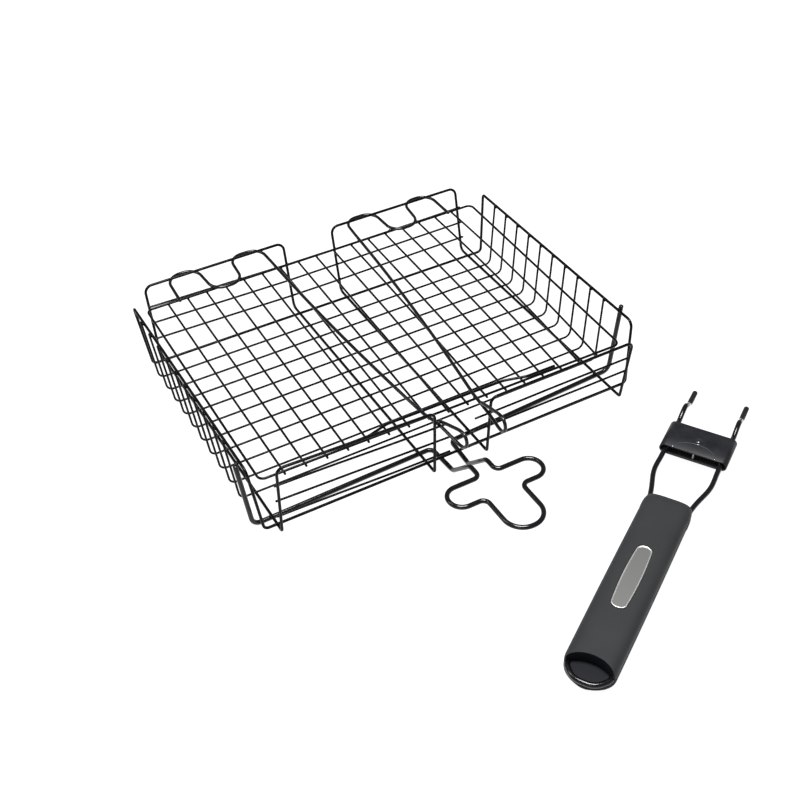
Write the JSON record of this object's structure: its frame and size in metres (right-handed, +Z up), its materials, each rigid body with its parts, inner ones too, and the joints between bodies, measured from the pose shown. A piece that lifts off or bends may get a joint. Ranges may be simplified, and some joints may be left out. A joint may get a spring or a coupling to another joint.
{
  "type": "grill basket",
  "caption": "Rectangular wire grill basket with a hinged wire lid, spring hooks and a separate grip handle with a sliding collar.",
  "frame": {"origin": "centre of the whole group's footprint on the surface it stands on", "axes": "+Y from the handle side towards the lid's hinge side, +Z up, +X to the right seen from the handle side"},
  "size_m": [0.4418, 0.5456, 0.0772],
  "materials": {
    "coated_wire": "semi-gloss black non-stick coating",
    "grip": "matte charcoal",
    "collar": "satin black coating",
    "badge": "satin, blank"
  },
  "bodies": {
    "tray": {"tray_side_loop": "coated_wire", "tray_left_loop": "coated_wire", "tray_right_loop": "coated_wire", "tray_floor_wire_01": "coated_wire", "tray_floor_wire_02": "coated_wire", "tray_floor_wire_03": "coated_wire", "tray_floor_wire_04": "coated_wire", "tray_floor_wire_05": "coated_wire", "tray_floor_wire_06": "coated_wire", "tray_floor_wire_07": "coated_wire", "tray_floor_wire_08": "coated_wire", "tray_floor_wire_09": "coated_wire", "tray_floor_wire_10": "coated_wire", "tray_back_wire_lower": "coated_wire", "tray_back_wire_middle": "coated_wire", "tray_back_wire_upper": "coated_wire", "tray_front_left_wire_lower": "coated_wire", "tray_front_left_wire_middle": "coated_wire", "tray_front_left_wire_upper": "coated_wire", "tray_front_right_wire_lower": "coated_wire", "tray_front_right_wire_middle": "coated_wire", "tray_front_right_wire_upper": "coated_wire", "tray_cradle_wire": "coated_wire"},
    "lid": {"lid_frame": "coated_wire", "lid_wire_01": "coated_wire", "lid_wire_02": "coated_wire", "lid_wire_03": "coated_wire", "lid_wire_04": "coated_wire", "lid_wire_05": "coated_wire", "lid_wire_06": "coated_wire", "lid_wire_07": "coated_wire", "lid_wire_08": "coated_wire", "lid_wire_09": "coated_wire", "lid_wire_10": "coated_wire", "lid_wire_11": "coated_wire", "lid_wire_12": "coated_wire", "lid_wire_13": "coated_wire", "lid_wire_14": "coated_wire", "lid_wire_15": "coated_wire", "lid_wire_16": "coated_wire", "lid_wire_17": "coated_wire", "lid_front_bar": "coated_wire", "lid_hook_wire_left": "coated_wire", "lid_hook_wire_right": "coated_wire"},
    "handle": {"handle_wire": "coated_wire", "grip_upper_shell": "grip", "grip_lower_shell": "grip", "grip_badge": "badge"},
    "collar": {"slide_collar": "collar", "collar_rivet": "collar", "collar_spacer": "collar"}
  },
  "joints": [
    {"name": "lid_hinge", "type": "hinge", "parent": "tray", "child": "lid", "pos_m": [-0.03078, 0.26004, 0.06687], "axis": [-1, 0, 0], "range_deg": [0, 115]},
    {"name": "handle_lift", "type": "slide", "parent": "tray", "child": "handle", "axis": [0, 0, 1], "range_m": [0, 0.12]},
    {"name": "collar_slide", "type": "slide", "parent": "handle", "child": "collar", "axis": [0.8339, 0.5519, 0], "range_m": [-0.052, 0.004]}
  ]
}
